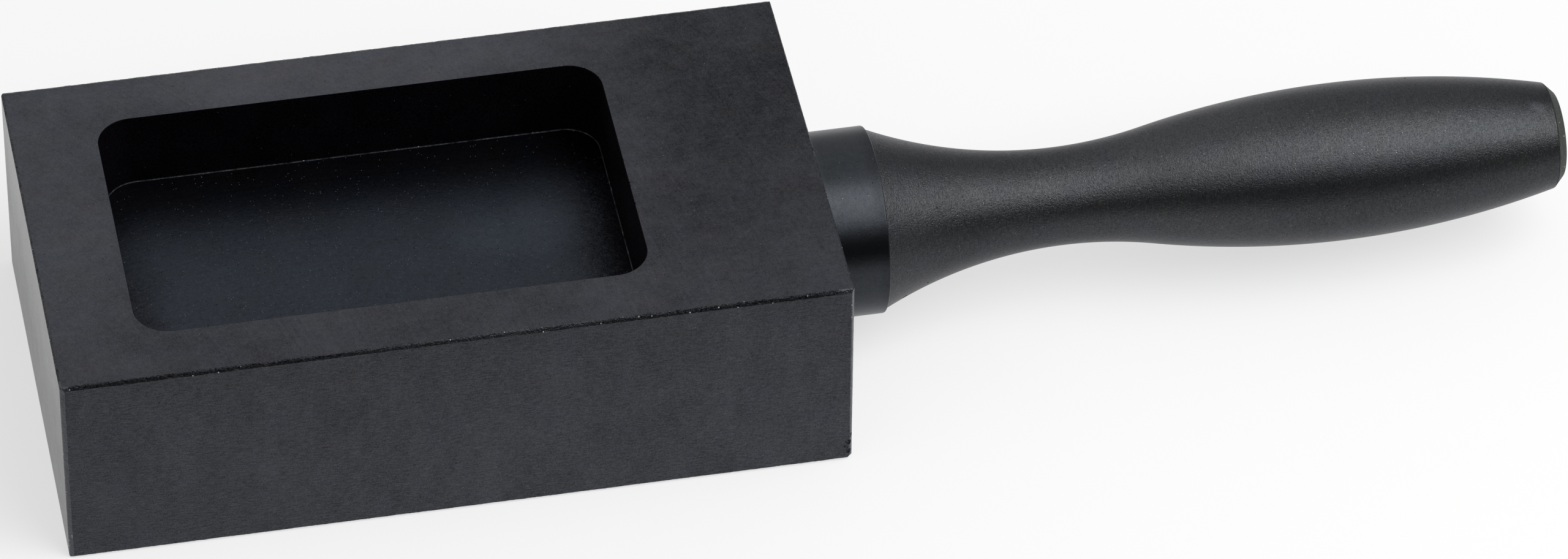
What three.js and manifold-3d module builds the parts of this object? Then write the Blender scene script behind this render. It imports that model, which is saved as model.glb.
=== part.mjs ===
// Ingot mould: a graphite block with an open pocket, and a turned graphite handle joined to it by a steel stud.
// Millimetres, +Z up. The origin is the centre of the block's base, and the handle points along +X.
import * as THREE from 'three';
import { mergeVertices } from 'three/addons/utils/BufferGeometryUtils.js';
import Module from 'manifold-3d';

const wasm = await Module();
wasm.setup();

// Pocket that shapes the ingot
const pocketLength = 80.5;
const pocketWidth = 50;
const pocketDepth = 13;
const pocketCornerRadius = 5.6;
const wallLean = 0.5; // how far a wall comes in on its way down to the floor, so that the ingot drops out
const floorFillet = 0.4;

// Graphite left round the pocket
const farWall = 13.5; // at the end away from the handle
const handleWall = 30; // at the handle's end, deep enough to take the stud
const sideWall = 10;
const floorThickness = 23;
const edgeBreak = 0.3;

// Handle, with places measured from the face that meets the block
const handleLength = 122;
const collarDiameter = 30;
const collarLength = 10;
const collarEdge = 0.5;
const neckDiameter = 15.7;
const neckPlace = 40;
const gripDiameter = 25.3;
const gripPlace = 85.8;
const endDiameter = 17.2;
const endChamfer = 1.6;

// Stud and the blind sockets that it goes into
const studDiameter = 12;
const studInBlock = 18;
const studInHandle = 20;
const studChamfer = 1;
const studClearance = 0.3; // round the stud, in both sockets
const socketRunout = 2; // past the stud's end, before the drill's point
const socketMouthChamfer = 1;
const drillPointAngle = THREE.MathUtils.degToRad(118);

const cutOverrun = 1; // how far a cutter stands out of the face that it opens
const roundSides = 72;
const handleArcSteps = 6;
const cornerArcSteps = 5;
const filletSteps = 4;

const blockLength = farWall + pocketLength + handleWall;
const blockWidth = pocketWidth + 2 * sideWall;
const blockHeight = pocketDepth + floorThickness;
const handleFace = blockLength / 2;
const handleAxisHeight = blockHeight / 2;
const collarRadius = collarDiameter / 2;
const neckRadius = neckDiameter / 2;
const gripRadius = gripDiameter / 2;
const endRadius = endDiameter / 2;
const studRadius = studDiameter / 2;
const socketRadius = studRadius + studClearance;
const socketPointLength = socketRadius / Math.tan(drillPointAngle / 2);

const blockGraphite = new THREE.MeshStandardMaterial({ color: 0x3e3f43, roughness: 0.55, metalness: 0.2 });
const handleGraphite = new THREE.MeshStandardMaterial({ color: 0x4a4b4e, roughness: 0.45, metalness: 0.25 });
const steel = new THREE.MeshStandardMaterial({ color: 0x9a9c9e, roughness: 0.35, metalness: 1 });

// A closed three.js geometry as a solid that can be joined and cut.
function toSolid(geometry) {
  geometry.deleteAttribute('normal');
  geometry.deleteAttribute('uv');
  const merged = mergeVertices(geometry);
  const corners = merged.index.array;
  const triVerts = [];
  for (let i = 0; i < corners.length; i += 3) {
    const [a, b, c] = [corners[i], corners[i + 1], corners[i + 2]];
    if (a !== b && b !== c && c !== a) triVerts.push(a, b, c);
  }
  const vertProperties = new Float32Array(merged.getAttribute('position').array);
  return new wasm.Manifold(new wasm.Mesh({ numProp: 3, vertProperties, triVerts: new Uint32Array(triVerts) }));
}

// A solid as a named mesh with flat facets.
function toMesh(name, solid, material) {
  const { numProp, vertProperties, triVerts } = solid.getMesh();
  const geometry = new THREE.BufferGeometry();
  geometry.setAttribute('position', new THREE.BufferAttribute(new Float32Array(vertProperties), numProp));
  geometry.setIndex(new THREE.BufferAttribute(new Uint32Array(triVerts), 1));
  geometry.computeVertexNormals();
  const mesh = new THREE.Mesh(geometry, material);
  mesh.name = name;
  return mesh;
}

// One level of a loft: a rectangle round the origin with round corners, counterclockwise from above.
function rectangleRing(length, width, cornerRadius, arcSteps, z) {
  const x = length / 2 - cornerRadius;
  const y = width / 2 - cornerRadius;
  const corners = [[x, y], [-x, y], [-x, -y], [x, -y]];
  return corners.flatMap(([centreX, centreY], quarter) => {
    const start = (quarter * Math.PI) / 2;
    const arc = new THREE.EllipseCurve(
      centreX, centreY, cornerRadius, cornerRadius, start, start + Math.PI / 2, false,
    );
    return arc.getPoints(arcSteps).map((point) => new THREE.Vector3(point.x, point.y, z));
  });
}

// A closed geometry through rings that lie one above the other, lowest first.
function loft(rings) {
  const sides = rings[0].length;
  const index = [];
  for (let level = 0; level < rings.length - 1; level++) {
    for (let side = 0; side < sides; side++) {
      const a = level * sides + side;
      const b = level * sides + ((side + 1) % sides);
      index.push(a, b, b + sides, a, b + sides, a + sides);
    }
  }
  const top = (rings.length - 1) * sides;
  for (const [a, b, c] of THREE.ShapeUtils.triangulateShape(rings[0], [])) {
    index.push(a, c, b, top + a, top + b, top + c);
  }
  const geometry = new THREE.BufferGeometry().setFromPoints(rings.flat());
  geometry.setIndex(index);
  return geometry;
}

// The block before it is cut: a box whose twelve edges are broken.
function blankBlock() {
  const levels = [
    [edgeBreak, 0],
    [0, edgeBreak],
    [0, blockHeight - edgeBreak],
    [edgeBreak, blockHeight],
  ];
  const chamferSteps = 1;
  return loft(levels.map(([inset, z]) => rectangleRing(
    blockLength - 2 * inset, blockWidth - 2 * inset, edgeBreak, chamferSteps, z,
  )));
}

// The pocket as a solid: walls that lean out towards the top, and a fillet all round the floor.
function pocketCutter() {
  const lean = Math.atan(wallLean / pocketDepth);
  const filletSweep = Math.PI / 2 - lean;
  const filletCentreInset = wallLean + floorFillet * Math.tan(filletSweep / 2);
  const levels = [];
  for (let step = 0; step <= filletSteps; step++) {
    const angle = (filletSweep * step) / filletSteps;
    levels.push([
      filletCentreInset - floorFillet * Math.sin(angle),
      floorFillet * (1 - Math.cos(angle)),
    ]);
  }
  levels.push([-cutOverrun * Math.tan(lean), pocketDepth + cutOverrun]);
  const pocket = loft(levels.map(([inset, height]) => rectangleRing(
    pocketLength - 2 * inset, pocketWidth - 2 * inset, pocketCornerRadius - inset, cornerArcSteps,
    floorThickness + height,
  )));
  return pocket.translate(farWall + pocketLength / 2 - blockLength / 2, 0, 0);
}

// The blind socket in the block's end face, turned to open towards the handle.
function socketCutter() {
  const depth = studInBlock + socketRunout;
  const outline = [
    new THREE.Vector2(0, -depth - socketPointLength),
    new THREE.Vector2(socketRadius, -depth),
    new THREE.Vector2(socketRadius, -socketMouthChamfer),
    new THREE.Vector2(socketRadius + socketMouthChamfer + cutOverrun, cutOverrun),
    new THREE.Vector2(0, cutOverrun),
  ];
  const cutter = new THREE.LatheGeometry(outline, roundSides);
  return cutter.rotateZ(-Math.PI / 2).translate(handleFace, 0, handleAxisHeight);
}

// The handle's outline from its socket round to its free end: radius across, distance from the block along.
// A hollow arc leaves the collar and turns at the neck, a round one tangent to it climbs to the thickest place
// of the grip, and a third falls away from there to the end.
function handleOutline() {
  const depth = studInHandle + socketRunout;
  const flareRadius = collarRadius - collarEdge;
  const flareRun = neckPlace - collarLength;
  const flareRise = flareRadius - neckRadius;
  const neckArcRadius = (flareRun ** 2 + flareRise ** 2) / (2 * flareRise);
  const gripRun = gripPlace - neckPlace;
  const gripRise = gripRadius - neckRadius;
  const climbArcRadius = (gripRun ** 2 + gripRise ** 2) / (2 * gripRise) - neckArcRadius;
  const climbAngle = Math.asin(gripRun / (neckArcRadius + climbArcRadius));
  const flareAngle = Math.asin(flareRun / neckArcRadius);
  const chamferPlace = handleLength - endChamfer;
  const fallRun = chamferPlace - gripPlace;
  const fallDrop = gripRadius - endRadius;
  const fallArcRadius = (fallRun ** 2 + fallDrop ** 2) / (2 * fallDrop);
  const fallAngle = Math.asin(fallRun / fallArcRadius);

  const outline = new THREE.Path();
  outline.moveTo(0, depth + socketPointLength);
  outline.lineTo(socketRadius, depth);
  outline.lineTo(socketRadius, socketMouthChamfer);
  outline.lineTo(socketRadius + socketMouthChamfer, 0);
  outline.lineTo(collarRadius, 0);
  outline.lineTo(collarRadius, collarLength - collarEdge);
  outline.absarc(
    neckRadius + neckArcRadius, neckPlace, neckArcRadius, Math.PI + flareAngle, Math.PI - climbAngle, true,
  );
  outline.absarc(gripRadius - climbArcRadius, gripPlace, climbArcRadius, -climbAngle, 0, false);
  outline.absarc(gripRadius - fallArcRadius, gripPlace, fallArcRadius, 0, fallAngle, false);
  outline.lineTo(endRadius - endChamfer, handleLength);
  outline.lineTo(0, handleLength);
  return outline.getPoints(handleArcSteps);
}

// The stud's outline, from its end in the block to its end in the handle.
function studOutline() {
  const length = studInBlock + studInHandle;
  return [
    new THREE.Vector2(0, 0),
    new THREE.Vector2(studRadius - studChamfer, 0),
    new THREE.Vector2(studRadius, studChamfer),
    new THREE.Vector2(studRadius, length - studChamfer),
    new THREE.Vector2(studRadius - studChamfer, length),
    new THREE.Vector2(0, length),
  ];
}

const blockSolid = toSolid(blankBlock()).subtract(toSolid(pocketCutter())).subtract(toSolid(socketCutter()));
const handleSolid = toSolid(new THREE.LatheGeometry(handleOutline(), roundSides));
const studSolid = toSolid(new THREE.LatheGeometry(studOutline(), roundSides));

const mould = new THREE.Group();
mould.add(toMesh('mould_block', blockSolid, blockGraphite));

// What is turned shares one axis, which runs from the middle of the block's end face along +X.
const turned = new THREE.Group();
turned.position.set(handleFace, 0, handleAxisHeight);
turned.rotation.z = -Math.PI / 2;
turned.add(toMesh('handle', handleSolid, handleGraphite));
const stud = toMesh('handle_stud', studSolid, steel);
stud.position.y = -studInBlock;
turned.add(stud);
mould.add(turned);

export default mould;
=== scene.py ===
import random
from math import pi, radians, tan

import bmesh
import bpy
from mathutils import Matrix, Vector


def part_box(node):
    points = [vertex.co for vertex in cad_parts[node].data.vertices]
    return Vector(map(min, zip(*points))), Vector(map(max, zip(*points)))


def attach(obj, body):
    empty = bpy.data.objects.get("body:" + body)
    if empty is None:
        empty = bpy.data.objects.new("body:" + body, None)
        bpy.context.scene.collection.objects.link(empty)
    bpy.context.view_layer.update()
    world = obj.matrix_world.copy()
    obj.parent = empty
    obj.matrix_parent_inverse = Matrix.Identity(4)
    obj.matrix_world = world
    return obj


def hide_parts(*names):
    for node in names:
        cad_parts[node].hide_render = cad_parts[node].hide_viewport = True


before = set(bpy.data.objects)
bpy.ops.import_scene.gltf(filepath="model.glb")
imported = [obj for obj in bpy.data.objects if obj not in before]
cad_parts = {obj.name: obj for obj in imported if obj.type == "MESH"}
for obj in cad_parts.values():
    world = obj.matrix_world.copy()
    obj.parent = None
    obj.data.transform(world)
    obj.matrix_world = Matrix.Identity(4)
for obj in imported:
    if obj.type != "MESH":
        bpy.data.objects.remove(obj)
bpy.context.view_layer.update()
mm = 0.001
doubled = 0.001 * mm # points nearer than this are one point
closeEnough = 0.01 * mm # places nearer than this are the same place
wellClear = 1 * mm # least gap between two places that are surely apart
squareOn = 0.9 # least share of a face's normal along an axis that the face looks along

# Camera, fitted to the block's straight edges and to the handle's outline in the photograph
cameraFit = {
    "place": Vector((-0.156084, -1.062407, 0.999139)),
    "forward": Vector((0.145574, 0.723200, -0.675122)),
    "right": Vector((0.981706, -0.190237, 0.007897)),
    "focalPixels": 15035.3,
    "imageWidth": 2560,
    "sensorWidth": 36,
    "nearest": 0.05,
    "farthest": 40,
}


def placeCamera(fit):
    data = bpy.data.cameras.new("photoCamera")
    data.sensor_fit = "HORIZONTAL"
    data.sensor_width = fit["sensorWidth"]
    data.lens = fit["focalPixels"] * fit["sensorWidth"] / fit["imageWidth"]
    data.clip_start = fit["nearest"]
    data.clip_end = fit["farthest"]
    right = fit["right"].normalized()
    back = -fit["forward"]
    back = (back - right * back.dot(right)).normalized()
    up = back.cross(right)
    camera = bpy.data.objects.new("photoCamera", data)
    turn = Matrix((right, up, back)).transposed().to_4x4()
    camera.matrix_world = Matrix.Translation(fit["place"]) @ turn
    bpy.context.scene.collection.objects.link(camera)
    bpy.context.scene.camera = camera


placeCamera(cameraFit)
print("camera placed")


# Colours are written as sRGB hex and used as linear light.
def linear(hexColour):
    channels = [int(hexColour[i : i + 2], 16) / 255 for i in (1, 3, 5)]
    return [c / 12.92 if c <= 0.04045 else ((c + 0.055) / 1.055) ** 2.4 for c in channels] + [1]


# Adds a node. Settings are its own properties, inputs are values or the sockets to link from.
def addNode(tree, kind, inputs=None, **settings):
    node = tree.nodes.new(kind)
    for name, value in settings.items():
        setattr(node, name, value)
    for name, value in (inputs or {}).items():
        if isinstance(value, bpy.types.NodeSocket):
            tree.links.new(value, node.inputs[name])
        else:
            node.inputs[name].default_value = value
    return node


def newMaterial(name):
    material = bpy.data.materials.new(name)
    material.use_nodes = True
    material.node_tree.nodes.clear()
    return material, material.node_tree


# Adds a primitive with nothing else selected, puts its place in its mesh, and opens it in edit mode.
def startPiece(name, addPrimitive, scale=(1, 1, 1), **settings):
    bpy.ops.object.select_all(action="DESELECT")
    addPrimitive(**settings)
    piece = bpy.context.object
    piece.name = name
    piece.data.name = name
    piece.scale = scale
    bpy.ops.object.transform_apply(location=True, rotation=True, scale=True)
    bpy.ops.object.mode_set(mode="EDIT")
    return piece


# In edit mode, selects just the vertices, edges or faces that pass a test on their place or normal.
def pick(kind, test):
    bpy.ops.mesh.select_mode(type=kind)
    bpy.ops.mesh.select_all(action="DESELECT")
    shape = bmesh.from_edit_mesh(bpy.context.object.data)
    for element in {"VERT": shape.verts, "EDGE": shape.edges, "FACE": shape.faces}[kind]:
        if test(element):
            element.select_set(True)
    bmesh.update_edit_mesh(bpy.context.object.data)


def pickAll():
    bpy.ops.mesh.select_all(action="SELECT")


def extrude(step):
    bpy.ops.mesh.extrude_region_move(TRANSFORM_OT_translate={"value": step})


def close(a, b, tolerance=closeEnough):
    return abs(a - b) < tolerance


def liesAt(edge, height):
    return all(close(vert.co.z, height) for vert in edge.verts)


# Noise counts its features per metre, so a real size in mm becomes a scale.
def perMetre(size):
    return 1 / (size * mm)


studio = {
    "floorColour": "#fcfcfc",
    "floorHalf": 9,
    "floorDrop": 0.05 * mm,
    "skyOnSurfaces": 0.46, # what the white surroundings give to matt surfaces
    "skyLow": 0.48, # what reflections find at the horizon
    "skyHigh": 0.95, # and above skyHighFrom
    "skyHighFrom": 0.6, # as the sine of the height
    "skyRight": 0.28, # share of that left far to the right, beyond the handle
    "skyRightFrom": 0.15, # where it starts to fall and where it ends, as the sine of the angle
    "skyRightTo": 0.7,
    "floorShadowShare": 0.4, # how much of the floor's own shading is seen
    "boxDistance": 1.1,
    # Each softbox: degrees from upright towards the camera and towards the handle's end, degrees turned in
    # its own plane, width, depth and brightness
    "boxes": [
        ("overheadSoftbox", 23, 30, -24, 1.15, 1.0, 2.5),
        ("accentSoftbox", 40, 42, -24, 0.6, 0.45, 1.45),
    ],
    "flagColour": "#050505",
    "flagDistance": 2.4,
    "flagNear": 0.1, # where the flag begins on the table, in front of the handle
    "flagLift": 1 * mm, # off the table
    "flagTop": 34, # degrees above the horizon
    "flagWidth": 9,
}


def studioSheet(look):
    # Matt white sheet: pale, and keeps the object's shadow, to the camera and in reflections alike
    material, tree = newMaterial("matt_white_paper_sheet")
    paper = addNode(tree, "ShaderNodeBsdfDiffuse", {"Color": linear(look["floorColour"])})
    white = addNode(tree, "ShaderNodeEmission", {"Color": (1, 1, 1, 1), "Strength": 1})
    path = addNode(tree, "ShaderNodeLightPath")
    seen = addNode(tree, "ShaderNodeMath", {0: path.outputs["Is Camera Ray"],
                   1: path.outputs["Is Glossy Ray"]}, operation="MAXIMUM")
    seen = addNode(tree, "ShaderNodeMath", {0: seen.outputs[0],
                   1: path.outputs["Is Transmission Ray"]}, operation="MAXIMUM")
    share = addNode(tree, "ShaderNodeMath", {0: seen.outputs[0], 1: 1 - look["floorShadowShare"]},
                    operation="MULTIPLY")
    mixed = addNode(tree, "ShaderNodeMixShader", {0: share.outputs[0], 1: paper.outputs[0],
                    2: white.outputs[0]})
    addNode(tree, "ShaderNodeOutputMaterial", {"Surface": mixed.outputs[0]})
    return material


def flagCloth(look):
    # Black flock on the lighting flag: gives the round handle its dark band
    material, tree = newMaterial("black_flock_flag")
    cloth = addNode(tree, "ShaderNodeBsdfDiffuse", {"Color": linear(look["flagColour"])})
    addNode(tree, "ShaderNodeOutputMaterial", {"Surface": cloth.outputs[0]})
    return material


# White to the camera, softer on matt surfaces, and in reflections dimmer near the horizon and to the right
def buildSky(look):
    world = bpy.data.worlds.new("whiteSurroundings")
    world.use_nodes = True
    tree = world.node_tree
    tree.nodes.clear()
    path = addNode(tree, "ShaderNodeLightPath")
    reflected = addNode(tree, "ShaderNodeMath", {0: path.outputs["Is Glossy Ray"],
                        1: path.outputs["Is Transmission Ray"]}, operation="MAXIMUM")
    towards = addNode(tree, "ShaderNodeTexCoord")
    height = addNode(tree, "ShaderNodeSeparateXYZ", {0: towards.outputs["Generated"]})
    mirrored = addNode(tree, "ShaderNodeMapRange", {"Value": height.outputs["Z"],
                       "From Max": look["skyHighFrom"], "To Min": look["skyLow"],
                       "To Max": look["skyHigh"]})
    right = addNode(tree, "ShaderNodeMapRange", {"Value": height.outputs["X"],
                    "From Min": look["skyRightFrom"], "From Max": look["skyRightTo"], "To Min": 1,
                    "To Max": look["skyRight"]})
    mirrored = addNode(tree, "ShaderNodeMath", {0: mirrored.outputs[0], 1: right.outputs[0]},
                       operation="MULTIPLY")
    plain = addNode(tree, "ShaderNodeMapRange", {"Value": path.outputs["Is Camera Ray"],
                    "To Min": look["skyOnSurfaces"], "To Max": 1})
    strength = addNode(tree, "ShaderNodeMix", {0: reflected.outputs[0], 2: plain.outputs[0],
                       3: mirrored.outputs[0]}, data_type="FLOAT")
    light = addNode(tree, "ShaderNodeBackground", {"Color": (1, 1, 1, 1),
                    "Strength": strength.outputs[0]})
    addNode(tree, "ShaderNodeOutputWorld", {"Surface": light.outputs[0]})
    bpy.context.scene.world = world


def buildStudio(look):
    buildSky(look)
    bpy.ops.object.select_all(action="DESELECT")
    bpy.ops.mesh.primitive_plane_add(size=2 * look["floorHalf"], location=(0, 0, -look["floorDrop"]))
    floor = bpy.context.object
    floor.name = "studio_floor"
    floor.data.materials.append(studioSheet(look))

    # The flag lies on the table in front and then stands up. Only reflections see it.
    flagHeight = look["flagDistance"] * tan(radians(look["flagTop"]))
    flagDepth = look["flagDistance"] - look["flagNear"]
    flagMiddle = (0, -look["flagNear"] - flagDepth / 2, look["flagLift"])
    bpy.ops.mesh.primitive_plane_add(size=1, location=flagMiddle)
    flag = bpy.context.object
    flag.name = "studio_flag"
    flag.scale = (look["flagWidth"], flagDepth, 1)
    bpy.ops.object.transform_apply(location=True, scale=True)
    bpy.ops.object.mode_set(mode="EDIT")
    pick("EDGE", lambda edge: all(close(vert.co.y, -look["flagDistance"]) for vert in edge.verts))
    extrude((0, 0, flagHeight))
    bpy.ops.object.mode_set(mode="OBJECT")
    flag.data.materials.append(flagCloth(look))
    flag.visible_camera = False
    flag.visible_diffuse = False
    flag.visible_shadow = False

    # The softboxes hang where the handle mirrors them to the camera.
    handleLow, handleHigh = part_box("handle")
    middle = (handleLow + handleHigh) / 2
    for name, forward, aside, turn, width, depth, brightness in look["boxes"]:
        away = Vector((tan(radians(aside)), -tan(radians(forward)), 1)).normalized()
        data = bpy.data.lights.new(name, "AREA")
        data.shape = "RECTANGLE"
        data.size = width
        data.size_y = depth
        data.energy = brightness * pi * width * depth # the watts that make a sheet this bright
        box = bpy.data.objects.new(name, data)
        box.location = middle + away * look["boxDistance"]
        facing = away.to_track_quat("Z", "Y").to_matrix() @ Matrix.Rotation(radians(turn), 3, "Z")
        box.rotation_euler = facing.to_euler()
        bpy.context.scene.collection.objects.link(box)
    bpy.context.scene.view_settings.view_transform = "Standard"


buildStudio(studio)
print("studio lit")


# Leaves edit mode with doubled points closed and the faces pointing outwards.
def finishShape(piece):
    pickAll()
    bpy.ops.mesh.remove_doubles(threshold=doubled)
    bpy.ops.mesh.normals_make_consistent(inside=False)
    bpy.ops.object.mode_set(mode="OBJECT")


def selectOnly(pieces):
    bpy.ops.object.select_all(action="DESELECT")
    for piece in pieces:
        piece.select_set(True)
    bpy.context.view_layer.objects.active = pieces[0]


# Cuts one piece with another and removes the cutter.
def cutAway(piece, cutter, operation="DIFFERENCE"):
    selectOnly([piece])
    cut = piece.modifiers.new("cut", "BOOLEAN")
    cut.operation = operation
    cut.solver = "MANIFOLD"
    cut.object = cutter
    bpy.ops.object.modifier_apply(modifier=cut.name)
    bpy.data.objects.remove(cutter)


# Joins the cutters and cuts with all of them at once.
def cutAwayAll(piece, cutters):
    selectOnly(cutters)
    bpy.ops.object.join()
    cutAway(piece, bpy.context.object)


# Smooths what is not a real edge. Wide faces keep their own direction, so that they stay flat to the eye.
def smoothShape(piece, below):
    selectOnly([piece])
    bpy.ops.object.shade_smooth_by_angle(angle=radians(below))
    settle = piece.modifiers.new("settle", "WEIGHTED_NORMAL")
    settle.keep_sharp = True
    bpy.ops.object.modifier_apply(modifier=settle.name)


# Gives each face the finish that a function names from its middle and its normal.
def paintFaces(piece, names, materials, finishOf):
    piece.data.materials.clear()
    for name in names:
        piece.data.materials.append(materials[name])
    for face in piece.data.polygons:
        face.material_index = names.index(finishOf(face.center, face.normal))


def dress(piece, node):
    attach(piece, "root")
    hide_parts(node)


# Draws an outline of (distance along, radius) points from a start on its axis: a small plane is merged to
# the first point, and the others are extruded from it.
def drawOutline(name, outline, start):
    piece = startPiece(name, bpy.ops.mesh.primitive_plane_add, size=mm,
                       location=start + Vector((outline[0][0], 0, outline[0][1])))
    bpy.ops.mesh.select_mode(type="VERT")
    pickAll()
    bpy.ops.mesh.merge(type="CENTER")
    for here, there in zip(outline, outline[1:]):
        extrude((there[0] - here[0], 0, there[1] - here[1]))
    return piece


# Turns an outline about its axis, as on a lathe.
def turnOutline(name, outline, start, steps):
    piece = drawOutline(name, outline, start)
    pickAll()
    bpy.ops.mesh.spin(steps=steps, angle=2 * pi, center=start, axis=(1, 0, 0))
    return piece


# The stud's place gives the axis that everything turned shares.
studLow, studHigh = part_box("handle_stud")
handleLow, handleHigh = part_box("handle")
axisPlace = Vector((handleLow.x, (studLow.y + studHigh.y) / 2, (studLow.z + studHigh.z) / 2))

socket = {
    "radius": 6.3 * mm,
    "runout": 2 * mm, # past the stud's end, before the drill's point
    "mouthChamfer": 1 * mm,
    "pointAngle": 118, # degrees, of the drill
    "sides": 64,
}
drillPoint = socket["radius"] / tan(radians(socket["pointAngle"] / 2)) # how long its point is

block = {
    "pocketLength": 80.5 * mm,
    "pocketWidth": 50 * mm,
    "pocketDepth": 13 * mm,
    "farWall": 13.5 * mm,
    "cornerRadius": 5.6 * mm,
    "cornerSteps": 14,
    "wallLean": 0.5 * mm, # how far a wall comes in on its way down, so that the ingot drops out
    "floorFillet": 0.18 * mm,
    "filletSteps": 5,
    "rimBreak": 0.08 * mm,
    "rimSteps": 2,
    "toolPathInset": 5 * mm, # of the line that the cutter leaves, from the floor's rim
    "toolPathDepth": 0.04 * mm,
    "toolPathWidth": 0.18 * mm,
    "toolPathCorner": 5 * mm,
    "toolPathSteps": 12,
    "toolPathOverrun": 1 * mm, # out of the floor
    "scoreHeight": 6.3 * mm, # where two passes of the side mill meet on the front face
    "scoreWidth": 0.2 * mm,
    "scoreDepth": 0.05 * mm, # at the left, and nothing from scoreEnd on
    "scoreEnd": 14 * mm,
    "chipSeed": 11,
    "chipSpacing": 10 * mm,
    "chipSmallest": 0.4 * mm,
    "chipLargest": 0.6 * mm,
    "chipLongest": 2.2, # times as long as it is wide
    "chipBite": 0.4, # share of a chip that lies inside the block
    "chipSpread": (0.2, 0.8), # part of its spacing in which a chip may fall
    "chipApart": 3, # least distance between two, in largest chips
    # Chips that stand out in the photograph: place and radius in mm
    "knownChips": [
        ((33.9, -35, 36), 0.55), ((35.2, -35, 36), 0.35), ((61.3, -34.9, 3.7), 0.6),
        ((60.9, -35.1, 2.7), 0.45), ((61.4, -35.0, 1.8), 0.55), ((61.7, -34.8, 5.0), 0.5),
        ((62, -35, 0), 1.1), ((-62, -35, 35.9), 0.5), ((62, -35, 36), 0.6), ((-62, 21, 36), 0.35),
        ((62, 12, 36), 0.3), ((-62, -35, 30), 0.35), ((32, -4.2, 36), 0.24), ((32, -4.9, 36), 0.2),
        ((32, -9.1, 36), 0.22), ((32, 1.2, 36), 0.18),
    ],
    "smoothBelow": 24, # degrees between two faces
    # How the finish of a face is told
    "flatNormal": 0.999, # least share of a flat face's normal along one axis
    "skin": 0.06 * mm, # this near to the block's own six faces, a flat face is part of them
    "edgeZone": 1.5 * mm, # this near to an edge, the rest is edge
    "filletTop": 1 * mm, # above the pocket's floor
    "wallNormal": 0.1, # up to this rise of its normal, a face in the pocket is wall
    "filletNormal": 0.97, # and up to this one, fillet
}

# The bar that rounds an edge over: its hollow is crumbled in long lumps first and then in small ones.
edgeBar = {
    "radius": (0.82 * mm, 0.45 * mm, 0.92 * mm), # of the edges along x, y and z
    "lump": 1.4 * mm,
    "lumpHeight": 0.02 * mm,
    "cuts": 3, # that divide a lump into grains
    "cutSmoothness": 0.6,
    "grainHeight": 0.022 * mm,
    # Shares of the radius: the step from row to row, how far each row is set back, and how far the middle
    # one moves towards the top face
    "rowStep": 0.54,
    "rowDepth": {-2: 0.706, -1: 0.56, 0: 0.36, 1: 0.452, 2: 0.6},
    "ridgeShift": 0.2,
    "thickness": 2 * mm,
    "overrun": 1 * mm, # past the block's ends
}


# One bar along an edge of the block. Its hollow is a grid of four rows, set back to make two facets with a
# soft ridge between them. The outer rows stay off the faces.
def crumbledBar(sizes, corner, along, outward, radius, length, seed):
    across = outward.cross(along)
    turn = Matrix((along, across, outward)).transposed().to_euler()
    row = radius * sizes["rowStep"]
    rows = len(sizes["rowDepth"]) - 1
    piece = startPiece("edge_bar", bpy.ops.mesh.primitive_grid_add, size=1, location=corner, rotation=turn,
                       x_subdivisions=round(length / sizes["lump"]), y_subdivisions=rows,
                       scale=(length + 2 * sizes["overrun"], rows * row, 1))
    for number, depth in sizes["rowDepth"].items():
        pick("VERT", lambda vert: close((vert.co - corner).dot(across), number * row))
        bpy.ops.transform.translate(value=-outward * radius * depth)
    pick("VERT", lambda vert: close((vert.co - corner).dot(across), 0))
    bpy.ops.transform.translate(value=across * (radius * sizes["ridgeShift"]))
    pickAll()
    bpy.ops.transform.vertex_random(offset=sizes["lumpHeight"], normal=1, seed=seed)
    bpy.ops.mesh.subdivide(number_cuts=sizes["cuts"], smoothness=sizes["cutSmoothness"])
    bpy.ops.transform.vertex_random(offset=sizes["grainHeight"], normal=1, seed=seed + 1)
    extrude(outward * sizes["thickness"])
    finishShape(piece)
    return piece


# The four edges of a box that run along one axis: the way out of the box at each, and its middle
def edgesAlong(axis, low, high):
    edges = []
    for signs in [(-1, -1), (-1, 1), (1, -1), (1, 1)]:
        outward = Vector(signs[:axis] + (0,) + signs[axis:])
        edges.append((outward, (low + high) / 2 + outward * (high - low) / 2))
    return edges


# All twelve edges are rounded over, four at a time. Each bar has two seeds of its own.
def crumbleEdges(piece, low, high, sizes):
    for axis in range(3):
        along = Vector([float(i == axis) for i in range(3)])
        bars = [crumbledBar(sizes, centre, along, outward.normalized(), sizes["radius"][axis],
                            (high - low)[axis], 10 * axis + 2 * number)
                for number, (outward, centre) in enumerate(edgesAlong(axis, low, high))]
        cutAwayAll(piece, bars)


# One chip or pore: a small lump with flat sides, which bites into a piece where it is put.
def chipCutter(place, radius, stretch, turn):
    piece = startPiece("chip", bpy.ops.mesh.primitive_ico_sphere_add, subdivisions=1, radius=radius,
                       location=place, rotation=turn, scale=stretch)
    finishShape(piece)
    return piece


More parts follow.
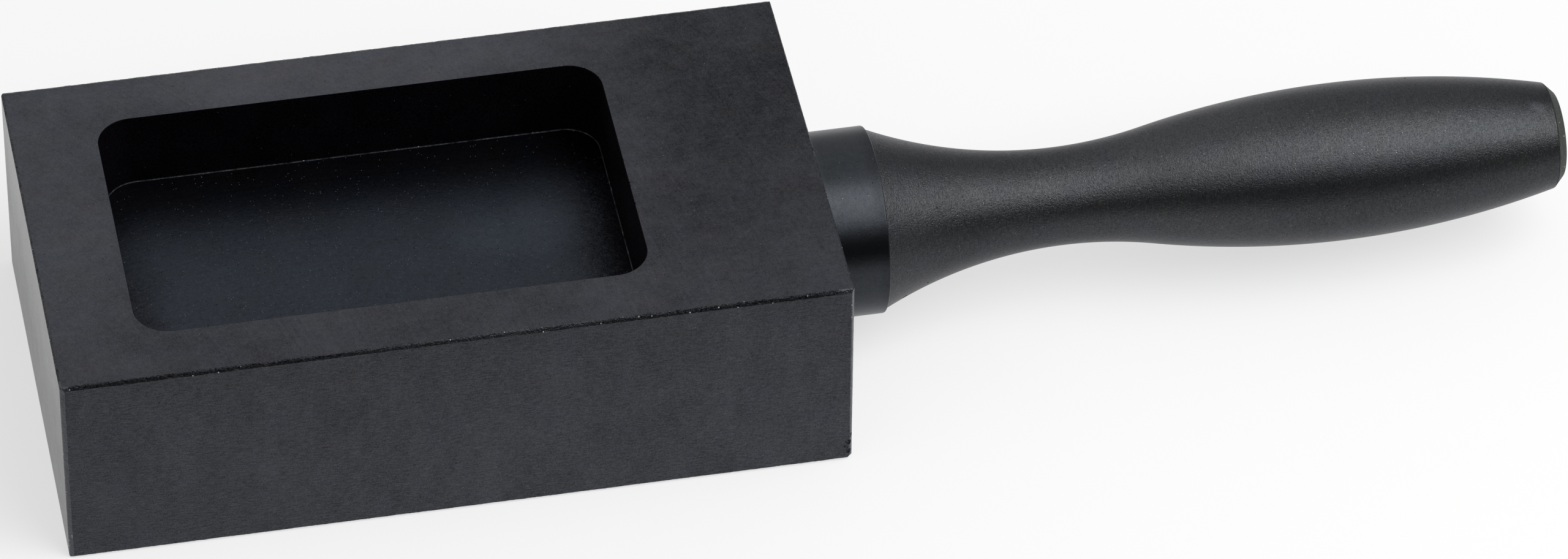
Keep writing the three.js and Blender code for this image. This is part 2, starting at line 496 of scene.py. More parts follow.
# First the chips that are known, then one about every chipSpacing, unless it falls too near to another
def chipEdges(piece, low, high, sizes):
    draw = random.Random(sizes["chipSeed"])
    for place, radius in sizes["knownChips"]:
        turn = [draw.uniform(0, pi) for _ in range(3)]
        cutAway(piece, chipCutter(Vector(place) * mm, radius * mm, (1, 1, 1), turn))
    taken = [Vector(place) * mm for place, radius in sizes["knownChips"]]
    apart = sizes["chipApart"] * sizes["chipLargest"]
    chips = []
    for axis in range(3):
        length = (high - low)[axis]
        count = int(length / sizes["chipSpacing"])
        for outward, centre in edgesAlong(axis, low, high):
            for number in range(count):
                radius = draw.uniform(sizes["chipSmallest"], sizes["chipLargest"])
                place = centre.copy()
                step = number + draw.uniform(*sizes["chipSpread"])
                place[axis] = low[axis] + step * length / count
                place += outward.normalized() * radius * (1 - 2 * sizes["chipBite"])
                stretch = [1, 1, 1]
                stretch[axis] = draw.uniform(1, sizes["chipLongest"])
                if all((place - other).length > apart for other in taken):
                    chips.append(chipCutter(place, radius, stretch, (0, 0, 0)))
                    taken.append(place)
    cutAwayAll(piece, chips)


# The line that the cutter's last lap but one leaves on the pocket's floor: a thin frame with round corners
def toolPathCutter(sizes, floorMiddle):
    inset = sizes["wallLean"] + sizes["toolPathInset"]
    piece = startPiece("tool_path", bpy.ops.mesh.primitive_plane_add, size=1,
                       location=floorMiddle - Vector((0, 0, sizes["toolPathDepth"])),
                       scale=(sizes["pocketLength"] - 2 * inset, sizes["pocketWidth"] - 2 * inset, 1))
    pickAll()
    bpy.ops.mesh.bevel(offset=sizes["toolPathCorner"], segments=sizes["toolPathSteps"], affect="VERTICES")
    pickAll()
    bpy.ops.mesh.inset(thickness=sizes["toolPathWidth"], depth=0)
    bpy.ops.mesh.delete(type="FACE")
    pickAll()
    extrude((0, 0, sizes["toolPathOverrun"]))
    finishShape(piece)
    return piece


def buildBlock(sizes, materials):
    low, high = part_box("mould_block")
    size = high - low
    piece = startPiece("graphite_block", bpy.ops.mesh.primitive_cube_add, scale=size, size=1,
                       location=(low + high) / 2)
    # The score on the front face: three lines, the middle one pressed in at its left end only
    cuts = [((0, 0, sizes["scoreHeight"] + side * sizes["scoreWidth"] / 2), (0, 0, 1))
            for side in (0, 1, -1)]
    for place, direction in cuts + [((sizes["scoreEnd"], 0, 0), (1, 0, 0))]:
        pick("FACE", lambda face: face.normal.y < -squareOn)
        bpy.ops.mesh.bisect(plane_co=place, plane_no=direction)
    pick("VERT", lambda vert: close(vert.co.z, sizes["scoreHeight"]) and close(vert.co.x, low.x)
         and close(vert.co.y, low.y))
    bpy.ops.transform.translate(value=(0, sizes["scoreDepth"], 0))

    # The pocket's outline: the top inset by the side walls, then its two ends moved.
    sideWall = (size.y - sizes["pocketWidth"]) / 2
    farEnd = low.x + sizes["farWall"]
    nearEnd = farEnd + sizes["pocketLength"]
    pick("FACE", lambda face: face.normal.z > squareOn)
    bpy.ops.mesh.inset(thickness=sideWall, depth=0)

    def isInner(vert):
        return close(vert.co.z, high.z) and abs(vert.co.y) < size.y / 2 - wellClear

    pick("VERT", lambda vert: isInner(vert) and vert.co.x < 0)
    bpy.ops.transform.translate(value=(farEnd - low.x - sideWall, 0, 0))
    pick("VERT", lambda vert: isInner(vert) and vert.co.x > 0)
    bpy.ops.transform.translate(value=(nearEnd - high.x + sideWall, 0, 0))

    # Sunk to its depth, and drawn in towards the floor
    middle = Vector(((farEnd + nearEnd) / 2, 0, high.z - sizes["pocketDepth"]))
    pick("FACE", lambda face: face.normal.z > squareOn
         and close(face.calc_center_median().x, middle.x, wellClear))
    extrude((0, 0, -sizes["pocketDepth"]))
    drawnIn = (1 - 2 * sizes["wallLean"] / sizes["pocketLength"],
               1 - 2 * sizes["wallLean"] / sizes["pocketWidth"], 1)
    bpy.ops.transform.resize(value=drawnIn, center_override=middle)

    # Round corners, then the fillet at the floor and the fine break at the mouth
    def isInside(edge):
        place = (edge.verts[0].co + edge.verts[1].co) / 2
        return (low.x + wellClear < place.x < high.x - wellClear
                and abs(place.y) < size.y / 2 - wellClear)

    pick("EDGE", lambda edge: isInside(edge)
         and abs(edge.verts[0].co.z - edge.verts[1].co.z) > wellClear)
    bpy.ops.mesh.bevel(offset=sizes["cornerRadius"], segments=sizes["cornerSteps"], affect="EDGES")
    pick("EDGE", lambda edge: isInside(edge) and liesAt(edge, middle.z))
    bpy.ops.mesh.bevel(offset=sizes["floorFillet"], segments=sizes["filletSteps"], affect="EDGES")
    pick("EDGE", lambda edge: isInside(edge) and liesAt(edge, high.z)
         and any(abs(face.normal.z) < squareOn for face in edge.link_faces))
    bpy.ops.mesh.bevel(offset=sizes["rimBreak"], segments=sizes["rimSteps"], affect="EDGES")

    finishShape(piece)
    cutAway(piece, toolPathCutter(sizes, middle))
    chipEdges(piece, low, high, sizes)
    crumbleEdges(piece, low, high, edgeBar)

    # The socket for the stud in the end face
    depth = high.x - studLow.x + socket["runout"]
    mouth = socket["mouthChamfer"]
    bore = turnOutline("socket_cutter", [
        (-depth - drillPoint, 0), (-depth, socket["radius"]), (-mouth, socket["radius"]),
        (mouth, socket["radius"] + 2 * mouth), (mouth, 0),
    ], Vector((high.x, axisPlace.y, axisPlace.z)), socket["sides"])
    finishShape(bore)
    cutAway(piece, bore)
    smoothShape(piece, sizes["smoothBelow"])
    paintBlock(piece, low, high, middle, materials, sizes)
    dress(piece, "mould_block")


# Gives each face of the block the finish of the tool that made it.
def paintBlock(piece, low, high, floorMiddle, materials, sizes):
    def finishOf(centre, normal):
        fromEnd = high.x - abs(centre.x)
        fromSide = high.y - abs(centre.y)
        fromFlat = min(centre.z - low.z, high.z - centre.z)
        isFlat = max(abs(part) for part in normal) > sizes["flatNormal"]
        if isFlat and min(fromEnd, fromSide, fromFlat) < sizes["skin"]:
            if centre.z > high.z - sizes["skin"]:
                return "top"
            return "end" if abs(normal.x) > squareOn else "side"
        if fromSide < sizes["edgeZone"] or max(fromEnd, fromFlat) < sizes["edgeZone"]:
            return "edge"
        if normal.z < sizes["wallNormal"] or centre.z > floorMiddle.z + sizes["filletTop"]:
            return "wall"
        return "fillet" if normal.z < sizes["filletNormal"] else "pocket"

    paintFaces(piece, ["top", "side", "end", "edge", "pocket", "wall", "fillet"], materials, finishOf)


handle = {
    "collarRadius": 15 * mm,
    "collarLength": 10 * mm,
    "collarEdge": 0.5 * mm,
    # The round of that edge: points by their share of it before the collar's end, and drop in radius
    "collarRound": [(0.6, 0), (0.25, 0.05 * mm), (0.04, 0.2 * mm)],
    "collarBack": 0.25 * mm, # broken edge against the block
    "neckRadius": 7.85 * mm,
    "neckPlace": 40 * mm,
    "gripRadius": 12.65 * mm,
    "gripPlace": 85.8 * mm,
    "endRadius": 8.6 * mm,
    "endChamfer": 1.6 * mm,
    "endNick": 0.14 * mm, # where the chamfering tool dug in
    "arcStep": 0.6 * mm, # along the axis
    "sides": 192,
    "smoothBelow": 25, # degrees between two faces
    # Pores and small chips in the turned surface: place and radius in mm
    "pores": [((80.74, -7.85, 25.95), 0.22), ((79.0, -10.3, 12.4), 0.25), ((75.4, -10.9, 10.1), 0.75),
              ((72.0, 9.0, 31.0), 0.3), ((104, 3, 25.7), 0.2), ((131, -8, 27.0), 0.2),
              ((160, 6, 28.6), 0.25)],
}


# An arc's points between two places along the axis: (distance along, radius).
def arcPoints(centre, radius, first, last, step, hollow):
    count = max(2, round(abs(last - first) / step))
    side = -1 if hollow else 1
    places = [first + (last - first) * i / count for i in range(count + 1)]
    return [(x, centre[1] + side * (radius**2 - (x - centre[0]) ** 2) ** 0.5) for x in places]


# A hollow arc leaves the collar and turns at the neck, a round one tangent to it climbs to the grip's
# thickest place, and a third falls away from there to the end.
def handleOutline(sizes, length):
    flareRadius = sizes["collarRadius"] - sizes["collarEdge"]
    flareRun = sizes["neckPlace"] - sizes["collarLength"]
    flareRise = flareRadius - sizes["neckRadius"]
    neckArc = (flareRun**2 + flareRise**2) / (2 * flareRise)
    gripRun = sizes["gripPlace"] - sizes["neckPlace"]
    gripRise = sizes["gripRadius"] - sizes["neckRadius"]
    climbArc = (gripRun**2 + gripRise**2) / (2 * gripRise) - neckArc
    turningPlace = sizes["neckPlace"] + gripRun * neckArc / (neckArc + climbArc)
    chamferPlace = length - sizes["endChamfer"]
    fallRun = chamferPlace - sizes["gripPlace"]
    fallDrop = sizes["gripRadius"] - sizes["endRadius"]
    fallArc = (fallRun**2 + fallDrop**2) / (2 * fallDrop)
    step = sizes["arcStep"]
    neck = arcPoints((sizes["neckPlace"], sizes["neckRadius"] + neckArc), neckArc,
                     sizes["collarLength"], turningPlace, step, True)
    climb = arcPoints((sizes["gripPlace"], sizes["gripRadius"] - climbArc), climbArc,
                      turningPlace, sizes["gripPlace"], step, False)
    fall = arcPoints((sizes["gripPlace"], sizes["gripRadius"] - fallArc), fallArc,
                     sizes["gripPlace"], chamferPlace, step, False)
    endFace = sizes["endRadius"] - sizes["endChamfer"]
    nick = [(chamferPlace + sizes["endNick"] / 2, sizes["endRadius"] - sizes["endNick"]),
            (chamferPlace + sizes["endNick"], sizes["endRadius"] - sizes["endNick"] / 2)]
    return neck + climb[1:] + fall[1:] + nick + [(length, endFace), (length, 0)]


def buildHandle(sizes, materials):
    length = handleHigh.x - handleLow.x
    depth = studHigh.x - handleLow.x + socket["runout"]
    bore = [(depth + drillPoint, 0), (depth, socket["radius"]),
            (socket["mouthChamfer"], socket["radius"]),
            (0, socket["radius"] + socket["mouthChamfer"])]
    collar = [(0, sizes["collarRadius"] - sizes["collarBack"]),
              (sizes["collarBack"], sizes["collarRadius"])]
    collar += [(sizes["collarLength"] - sizes["collarEdge"] * share, sizes["collarRadius"] - drop)
               for share, drop in sizes["collarRound"]]
    outline = bore + collar + handleOutline(sizes, length)
    piece = turnOutline("graphite_handle", outline, axisPlace, sizes["sides"])
    finishShape(piece)
    # Each pore is turned by its own numbers, so that no two look alike.
    pores = [chipCutter(Vector(place) * mm, radius * mm, (1, 1, 1), (radius, place[0], place[1]))
             for place, radius in sizes["pores"]]
    cutAwayAll(piece, pores)
    smoothShape(piece, sizes["smoothBelow"])

    def finishOf(centre, normal):
        if centre.x > handleHigh.x - sizes["endChamfer"] and normal.x < squareOn:
            return "chamfer"
        return "collar" if centre.x < handleLow.x + sizes["collarLength"] else "turned"

    paintFaces(piece, ["turned", "collar", "chamfer"], materials, finishOf)
    dress(piece, "handle")


stud = {
    "pitch": 1.75 * mm, # M12 thread
    "radius": 6 * mm,
    "coreRadius": 5.05 * mm,
    "root": 0.44 * mm, # flat between two threads
    "crest": 0.22 * mm, # flat on top of a thread
    "chamfer": 1 * mm,
    "sides": 48,
    "spareTurns": 2, # of the thread at each end, cut off again
    "overcut": 0.1 * mm, # past the thread's crests
    "smoothBelow": 25, # degrees between two faces
}


# The stud that joins handle and block: one tooth of its thread swept along a screw line.
def buildStud(sizes, material):
    length = studHigh.x - studLow.x
    pitch, core, radius = sizes["pitch"], sizes["coreRadius"], sizes["radius"]
    flank = (pitch - sizes["root"] - sizes["crest"]) / 2
    tooth = [(0, core), (sizes["root"], core), (sizes["root"] + flank, radius),
             (sizes["root"] + flank + sizes["crest"], radius), (pitch, core)]
    piece = drawOutline("threaded_stud", tooth, Vector((studLow.x - sizes["spareTurns"] * pitch, 0, 0)))
    bpy.ops.object.mode_set(mode="OBJECT")
    thread = piece.modifiers.new("thread", "SCREW")
    thread.axis = "X"
    thread.screw_offset = pitch
    thread.iterations = round(length / pitch) + 2 * sizes["spareTurns"]
    thread.steps = sizes["sides"]
    thread.render_steps = sizes["sides"]
    thread.use_merge_vertices = True
    thread.merge_threshold = closeEnough
    bpy.ops.object.modifier_apply(modifier=thread.name)
    bpy.ops.object.mode_set(mode="EDIT")
    pickAll()
    bpy.ops.transform.translate(value=(0, axisPlace.y, axisPlace.z))
    for end, facing in ((studLow.x, -1), (studHigh.x, 1)):
        pickAll()
        bpy.ops.mesh.bisect(plane_co=(end, 0, 0), plane_no=(facing, 0, 0), use_fill=True, clear_outer=True)
    finishShape(piece)
    over = sizes["overcut"]
    cut = sizes["chamfer"] + over
    bar = turnOutline("stud_blank", [
        (-over, 0), (-over, radius - cut), (cut - over, radius + over),
        (length - cut + over, radius + over), (length + over, radius - cut), (length + over, 0),
    ], Vector((studLow.x, axisPlace.y, axisPlace.z)), sizes["sides"])
    finishShape(bar)
    cutAway(piece, bar, "INTERSECT")
    smoothShape(piece, sizes["smoothBelow"])
    piece.data.materials.clear()
    piece.data.materials.append(material)
    dress(piece, "handle_stud")


# Adds soft dots: one in a share of the cells of a given spacing, all sizes in mm.
def dotMask(tree, place, spacing, size, share):
    cells = addNode(tree, "ShaderNodeTexVoronoi", {"Vector": place, "Scale": perMetre(spacing)})
    near = addNode(tree, "ShaderNodeMath", {0: cells.outputs["Distance"], 1: size / spacing / 2},
                   operation="LESS_THAN")
    chance = addNode(tree, "ShaderNodeSeparateColor", {0: cells.outputs["Color"]})
    chosen = addNode(tree, "ShaderNodeMath", {0: chance.outputs[0], 1: share}, operation="LESS_THAN")
    return addNode(tree, "ShaderNodeMath", {0: near.outputs[0], 1: chosen.outputs[0]},
                   operation="MULTIPLY").outputs[0]


# What every finish of the graphite shares
grain = {
    "fineness": 0.6, # of its noise
    "middle": 0.5, # of tone and of specular level
    "wander": 9, # mm, size of the noise that makes a patch's outline uneven
    "drift": 12, # mm, how far it moves the outline, unless a finish has its own
    "patchFull": 0.7, # share of the way in from its rim at which a patch is at full strength
    "poreTone": -0.7,
    "ior": 1.5, # of a finish that has none of its own
    "cloud": 7, # mm, size of the cool and warm clouds
    "allCool": 0.35, # below this noise, and all warm above the next
    "allWarm": 0.65,
}


# One layer of noise. Its size in mm is one number, or one for each axis where the grain is drawn out.
# Rings gives the centre, in mm, of the arcs that a cutter left.
def layerNoise(tree, place, noise):
    if noise["rings"]:
        away = addNode(tree, "ShaderNodeVectorMath", {0: place, 1: [c * mm for c in noise["rings"]]},
                       operation="DISTANCE")
        lap = addNode(tree, "ShaderNodeMath", {0: away.outputs["Value"], 1: perMetre(noise["size"])},
                      operation="MULTIPLY")
        made = addNode(tree, "ShaderNodeTexNoise", {"W": lap.outputs[0], "Scale": 1,
                       "Detail": noise["detail"], "Roughness": grain["fineness"]}, noise_dimensions="1D")
    else:
        size = noise["size"] if isinstance(noise["size"], tuple) else [noise["size"]] * 3
        drawn = addNode(tree, "ShaderNodeMapping", {"Vector": place, "Scale": [perMetre(s) for s in size]})
        made = addNode(tree, "ShaderNodeTexNoise", {"Vector": drawn.outputs[0], "Scale": 1,
                       "Detail": noise["detail"], "Roughness": grain["fineness"]})
    return made.outputs["Fac"]


# Fine-grained graphite. It is nearly black inside, and what shows is a soft grey sheen off its surface.
# The tone runs from 0, dark and dull, to 1, pale with more sheen. Layers of noise vary it and raise the
# surface, and patches, soft spots of a centre and half size in mm, shift it. Most patches are painted
# light and shade, as each finish says.
# Graphite conducts, so a finely turned surface takes a metallic 1: its colours are then what it mirrors.
# The sheen colour tints the reflection, on a metallic finish only where the eye grazes it.
def graphite(look):
    material, tree = newMaterial(look["name"])
    place = addNode(tree, "ShaderNodeTexCoord").outputs["Object"]
    # The middle of noise is a half, so half of what the layers can add is taken off first.
    tone = grain["middle"] + look.get("tone", 0) - sum(part["tone"] for part in look["layers"]) / 2
    height = 0
    for part in look["layers"]:
        noise = layerNoise(tree, place, part)
        tone = addNode(tree, "ShaderNodeMath", {0: noise, 1: part["tone"], 2: tone},
                       operation="MULTIPLY_ADD").outputs[0]
        if part["height"]:
            height = addNode(tree, "ShaderNodeMath", {0: noise, 1: part["height"], 2: height},
                             operation="MULTIPLY_ADD").outputs[0]
    drift = look.get("drift", grain["drift"])
    wander = addNode(tree, "ShaderNodeTexNoise", {"Vector": place, "Scale": perMetre(grain["wander"]),
                     "Detail": 3})
    wander = addNode(tree, "ShaderNodeVectorMath", {0: wander.outputs["Color"], 1: [drift * mm] * 3,
                     2: place}, operation="MULTIPLY_ADD").outputs[0]
    for part in look.get("patches", []):
        halfSize = [s * mm for s in part["halfSize"]]
        centre = [-(c + drift / 2) * mm / s for c, s in zip(part["centre"], halfSize)]
        local = addNode(tree, "ShaderNodeMapping", {"Vector": wander, "Location": centre,
                        "Scale": [1 / s for s in halfSize]})
        spot = addNode(tree, "ShaderNodeTexGradient", {"Vector": local.outputs[0]},
                       gradient_type="SPHERICAL")
        soft = addNode(tree, "ShaderNodeMapRange", {"Value": spot.outputs["Fac"],
                       "From Max": grain["patchFull"]}, interpolation_type="SMOOTHSTEP")
        tone = addNode(tree, "ShaderNodeMath", {0: soft.outputs[0], 1: part["tone"], 2: tone},
                       operation="MULTIPLY_ADD").outputs[0]
    # Pores between the grains
    pore = dotMask(tree, place, *look["pores"])
    tone = addNode(tree, "ShaderNodeMath", {0: pore, 1: grain["poreTone"], 2: tone},
                   operation="MULTIPLY_ADD", use_clamp=True).outputs[0]
    # Cool and warm clouds
    cloud = addNode(tree, "ShaderNodeTexNoise", {"Vector": place, "Scale": perMetre(grain["cloud"]),
                    "Detail": 4})
    cloud = addNode(tree, "ShaderNodeMapRange", {"Value": cloud.outputs["Fac"],
                    "From Min": grain["allCool"], "From Max": grain["allWarm"]})
    pale = addNode(tree, "ShaderNodeMixRGB", {0: cloud.outputs[0], 1: linear(look["cool"]),
                   2: linear(look["warm"])}).outputs[0]
    colour = addNode(tree, "ShaderNodeMixRGB", {0: tone, 1: linear(look["dark"]), 2: pale}).outputs[0]
    # Bright crystals in the cut surface
    crystal = dotMask(tree, place, *look["crystals"])
    colour = addNode(tree, "ShaderNodeMixRGB", {0: crystal, 1: colour,
                     2: linear(look["crystal"])}).outputs[0]
    rough = addNode(tree, "ShaderNodeMapRange", {"Value": tone,
                    "To Min": look["roughness"] + look["roughSpread"],
                    "To Max": look["roughness"] - look["roughSpread"]})
    relief = addNode(tree, "ShaderNodeBump", {"Height": height, "Strength": 1, "Distance": mm})
    if "roughFlare" in look:
        # The tool tore the grain more where it cut down the slope of the flare: from the first place,
        # in mm along the handle, that many times as much, falling to once at the second.
        near, far, times = look["roughFlare"]
        along = addNode(tree, "ShaderNodeSeparateXYZ", {0: place})
        torn = addNode(tree, "ShaderNodeMapRange", {"Value": along.outputs["X"], "From Min": near * mm,
                       "From Max": far * mm, "To Min": times * mm, "To Max": mm})
        tree.links.new(torn.outputs[0], relief.inputs["Distance"])
    surface = addNode(tree, "ShaderNodeBsdfPrincipled", {
        "Base Color": colour, "Roughness": rough.outputs[0], "IOR": look.get("ior", grain["ior"]),
        "Metallic": look.get("metallic", 0), "Specular Tint": linear(look["sheen"]),
        "Normal": relief.outputs[0],
    })
    if look["sheenSpread"]:
        level = addNode(tree, "ShaderNodeMapRange", {"Value": tone,
                        "To Min": grain["middle"] - look["sheenSpread"],
                        "To Max": grain["middle"] + look["sheenSpread"]})
        tree.links.new(level.outputs[0], surface.inputs["Specular IOR Level"])
    addNode(tree, "ShaderNodeOutputMaterial", {"Surface": surface.outputs[0]})
    return material


def layer(size, tone, height=0, detail=1, rings=None):
    return {"size": size, "tone": tone, "height": height, "detail": detail, "rings": rings}


def patch(centre, halfSize, tone):
    return {"centre": centre, "halfSize": halfSize, "tone": tone}


# The real grain is about 0.02 mm, and real pores, crystals and tool marks are under 0.1 mm. All are too
# fine to show in the render, so they are drawn as coarse as they need to show, 0.1 to 0.3 mm.
# Pores and crystals are given by spacing, size and the share of places that have one.
graphiteLooks = {
    # Fly-cut top: cloudy, with the wide faint arcs of the cutter
    "top": {
        "name": "fly_cut_graphite",
        "layers": [layer(16, 0.5, detail=4), layer(3, 0.34, detail=2), layer(0.8, 0.35, 0.01),
                   layer(0.3, 0.5, 0.01), layer(0.15, 0.55, 0.01),
                   layer(0.5, 0.12, 0.004, rings=(-150, -60, 36))],
        # Painted light and shade: the patches make the top lighter along its back edge and at its left
        # end, and darker at the back right and on the right
        "patches": [patch((-8, 31, 36), (62, 12, 14), 0.3), patch((-64, 5, 36), (30, 50, 14), 0.14),
                    patch((56, 26, 36), (34, 34, 14), -0.2), patch((50, -4, 36), (26, 34, 14), -0.12)],
        "dark": "#050607", "cool": "#282b31", "warm": "#2c2b2d", "roughness": 0.5, "roughSpread": 0.04,
        "sheenSpread": 0.38, "crystal": "#707478",
        "crystals": (0.8, 0.12, 0.03), "pores": (0.7, 0.2, 0.03), "ior": 1.465, "sheen": "#e8edff",
    },
    # Side-milled faces: short lengthwise strokes in upright clouds
    "side": {
        "name": "side_milled_graphite",
        "layers": [layer((9, 9, 16), 0.4, detail=4), layer((2.5, 2.5, 6), 0.2, detail=2),
                   layer((1.6, 1.6, 0.19), 0.68, 0.026), layer(0.18, 1.0, 0.013),
                   layer(0.5, 0.08, 0.003, rings=(-80, -35, 44))],
        "dark": "#050607", "cool": "#26292e", "warm": "#2a2a29", "roughness": 0.48, "roughSpread": 0.04,
        "sheenSpread": 0.36, "crystal": "#64686c",
        "crystals": (0.8, 0.12, 0.04), "pores": (0.7, 0.2, 0.03), "ior": 1.515, "sheen": "#e8ecff",
    },
    # Face-milled ends: smoother, bright where the light grazes them
    "end": {
        "name": "face_milled_graphite",
        "layers": [layer(18, 0.5, detail=4), layer(4, 0.5, detail=2), layer(0.8, 0.4, 0.014),
                   layer((1.5, 1.5, 0.3), 0.3, 0.012), layer(0.25, 0.5, 0.016)],
        # Painted highlight: the patch gives the end more sheen towards its top, so it grows darker towards
        # the bottom
        "patches": [patch((-62, 0, 42), (20, 60, 34), 0.5)],
        "dark": "#050606", "cool": "#24262b", "warm": "#282625", "roughness": 0.3, "roughSpread": 0.04,
        "sheenSpread": 0.3, "crystal": "#74787c",
        "crystals": (0.9, 0.14, 0.05), "pores": (0.7, 0.2, 0.03), "ior": 1.52, "sheen": "#f4f4ff",
    },
    # Crumbled edges, rounded over: burnished on top of the curve, with broken grain and pale flakes
    "edge": {
        "name": "crumbled_graphite_edge",
        "layers": [layer(2.5, 0.4, detail=3), layer(0.5, 0.6, 0.09), layer(0.22, 1.1, 0.08)],
        # Painted highlights: the patches give a paler band down both front upright edges and a glint at
        # both front top corners. They also make the front top edge darker over its left and right parts.
        "patches": [patch((-62, -35, 16), (4, 4, 30), 0.9), patch((62, -35, 22), (4, 4, 30), 1),
                    patch((-62, -35, 36), (2.4, 2.4, 2.4), 1.2),
                    patch((62, -35, 36), (2.4, 2.4, 2.4), 1.2),
                    patch((-44, -35, 36), (58, 6, 6), -0.22), patch((50, -35, 36), (40, 6, 6), -0.25)],
        "drift": 4,
        "dark": "#030304", "cool": "#15181c", "warm": "#1a1918", "roughness": 0.4, "roughSpread": 0.05,
        "sheenSpread": 0.42, "crystal": "#9a9c9e",
        "crystals": (0.5, 0.22, 0.12), "pores": (0.5, 0.25, 0.08), "ior": 1.46, "sheen": "#eef2ff",
    },
    # End-milled pocket: darker, satin, the walls duller still
    "pocket": {
        "name": "end_milled_graphite",
        "layers": [layer(10, 0.3, detail=4), layer(1, 0.25, 0.01), layer(0.26, 0.45, 0.02),
                   layer(0.13, 0.45, 0.012), layer(0.5, 0.12, 0.004, rings=(-20, -60, 23))],
        # Painted shade: the patches darken the floor towards the right, back and left walls. Painted
        # highlight: a paler spot on the floor, right of its middle.
        "patches": [patch((38, 0, 23), (20, 60, 30), -0.5), patch((-8, 32, 23), (90, 22, 30), -0.36),
                    patch((-50, -20, 23), (12, 50, 30), -0.3), patch((16, 3, 23), (16, 9, 9), 0.15)],
        "drift": 4,
        "dark": "#030102", "cool": "#0f141a", "warm": "#121313", "roughness": 0.3, "roughSpread": 0.03,
        "sheenSpread": 0.44, "crystal": "#585c60",
        "crystals": (0.4, 0.13, 0.12), "pores": (0.5, 0.18, 0.1), "ior": 1.41, "sheen": "#c8deff",
    },
    # Pocket walls: cut by the mill's side, made dull black as painted shade in the pocket, with a few
    # bright grains
    "wall": {
        "name": "graphite_wall_painted_shade",
        "tone": -0.35,
        "layers": [layer(8, 0.2, detail=3), layer(0.3, 0.5, 0.03)],
        "dark": "#010001", "cool": "#0a0a0c", "warm": "#0c0a0b", "roughness": 0.6, "roughSpread": 0.05,
        "sheenSpread": 0.47, "crystal": "#484a4e",
        "crystals": (0.6, 0.12, 0.06), "pores": (0.6, 0.2, 0.05), "ior": 1.35, "sheen": "#f0d8f8",
    },
    # The fillet round the floor: a fine grey line with bright grains, a painted highlight along the fillet
    "fillet": {
        "name": "graphite_fillet_painted_highlight",
        "layers": [layer(6, 0.7, detail=3), layer(1.5, 1.2), layer(0.3, 1.0, 0.03)],
        "dark": "#010101", "cool": "#24272b", "warm": "#272727", "roughness": 0.6, "roughSpread": 0.05,
        "sheenSpread": 0.45, "crystal": "#b0b2b4",
        "crystals": (0.5, 0.22, 0.12), "pores": (0.5, 0.2, 0.1), "ior": 1.42, "sheen": "#e8ecff",
    },
    # Finely turned collar: satin, duller beside the block and at its end edge
    "collar": {
        "name": "fine_turned_graphite",
        "layers": [layer(12, 0.2, detail=3), layer(1, 0.2, 0.008), layer(0.26, 0.25, 0.008),
                   layer(0.13, 0.35, 0.006), layer((0.3, 6, 6), 0.06, 0.004)],
        # The darker band at the end edge is partly a duller ring and partly painted shade that ends the
        # highlight there.
        "patches": [patch((62, 0, 18), (1.8, 60, 60), 0.15), patch((72, 0, 18), (2.4, 60, 60), -0.12)],
        "drift": 1.5,
        "dark": "#1b1b1d", "cool": "#474b51", "warm": "#484c50", "roughness": 0.325, "roughSpread": 0.05,
        "sheenSpread": 0, "crystal": "#707478",
        "crystals": (0.6, 0.12, 0.06), "pores": (0.5, 0.2, 0.06), "metallic": 1, "sheen": "#f7f7f9",
    },
    # The chamfer at the handle's end: cut last by hand, pale and dull, with fine rings
    "chamfer": {
        "name": "hand_chamfered_graphite",
        "layers": [layer(6, 0.3, detail=3), layer(0.3, 0.6, 0.02), layer((0.2, 3, 3), 0.6, 0.02)],
        "dark": "#141615", "cool": "#424644", "warm": "#444642", "roughness": 0.6, "roughSpread": 0.04,
        "sheenSpread": 0.2, "crystal": "#b0b2b0",
        "crystals": (0.6, 0.2, 0.08), "pores": (0.6, 0.22, 0.08), "ior": 1.35, "sheen": "#f4fff8",
    },
    # Turned grip: fine rings left by the tool, grainy in the light
    "turned": {
        "name": "turned_graphite",
        "layers": [layer(12, 0.2, detail=4), layer(0.8, 0.2, 0.012), layer(0.28, 0.72, 0.032),
                   layer((0.11, 0.17, 0.17), 0.8, 0.042), layer((0.22, 1.1, 1.1), 0.4, 0.018)],
        # Painted sheen: two of the patches brighten bands round the flare and round the grip's thin part,
        # lifting the highlight and the dark band there.
        "patches": [patch((179.7, -2.7, 26.8), (2, 1.4, 3), 0.4), patch((70, 0, 18), (14, 40, 40), 0.1),
                    patch((122, 0, 18), (24, 40, 40), 0.08)],
        "drift": 2,
        "roughFlare": (94, 134, 1.45),
        "dark": "#1f2021", "cool": "#505256", "warm": "#525354", "roughness": 0.375, "roughSpread": 0.03,
        "sheenSpread": 0, "crystal": "#74777a",
        "crystals": (0.5, 0.13, 0.12), "pores": (0.6, 0.2, 0.04), "metallic": 1, "sheen": "#f7f7f9",
    },
}
materials = {key: graphite(look) for key, look in graphiteLooks.items()}
print("graphite made")


# The lines of the rolls are coarser than the real ones, which are too fine to show.
steelLook = {
    "lines": (0.1, 4, 4), # mm along each axis
    "stain": 3, # mm
    "dark": "#8f9295",
    "pale": "#babcbe",
    "smoothest": 0.22,
    "roughest": 0.42,
    "lineHeight": 0.01 * mm,
}


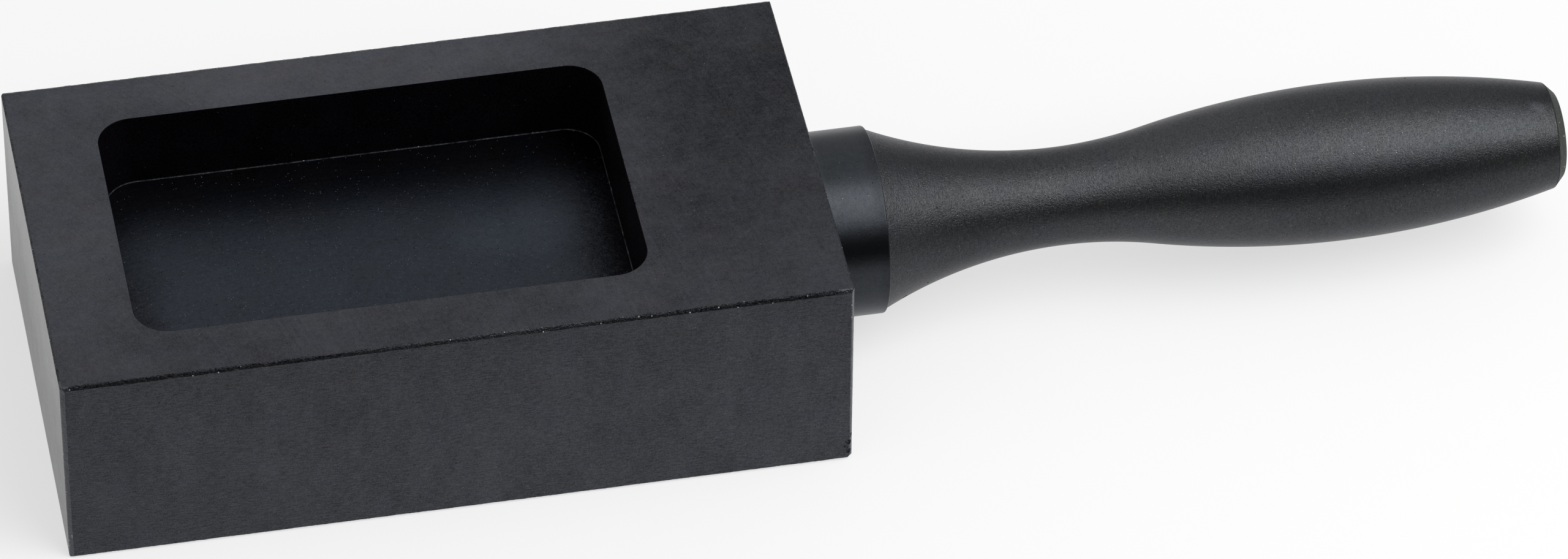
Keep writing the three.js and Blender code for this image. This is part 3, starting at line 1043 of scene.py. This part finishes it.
def rolledSteel(look):
    # Thread-rolled stainless steel: bright and grey, with faint lines round the crests
    material, tree = newMaterial("thread_rolled_stainless_steel")
    place = addNode(tree, "ShaderNodeTexCoord").outputs["Object"]
    ring = addNode(tree, "ShaderNodeMapping", {"Vector": place,
                   "Scale": [perMetre(s) for s in look["lines"]]})
    lines = addNode(tree, "ShaderNodeTexNoise", {"Vector": ring.outputs[0], "Scale": 1, "Detail": 2})
    stain = addNode(tree, "ShaderNodeTexNoise", {"Vector": place, "Scale": perMetre(look["stain"]),
                    "Detail": 3})
    colour = addNode(tree, "ShaderNodeMixRGB", {0: stain.outputs["Fac"], 1: linear(look["dark"]),
                     2: linear(look["pale"])})
    rough = addNode(tree, "ShaderNodeMapRange", {"Value": lines.outputs["Fac"],
                    "To Min": look["smoothest"], "To Max": look["roughest"]})
    relief = addNode(tree, "ShaderNodeBump", {"Height": lines.outputs["Fac"], "Strength": 1,
                     "Distance": look["lineHeight"]})
    surface = addNode(tree, "ShaderNodeBsdfPrincipled", {"Base Color": colour.outputs[0], "Metallic": 1,
                      "Roughness": rough.outputs[0], "Normal": relief.outputs[0]})
    addNode(tree, "ShaderNodeOutputMaterial", {"Surface": surface.outputs[0]})
    return material


buildBlock(block, materials)
print("block milled")
buildHandle(handle, materials)
print("handle turned")
buildStud(stud, rolledSteel(steelLook))
print("stud threaded")
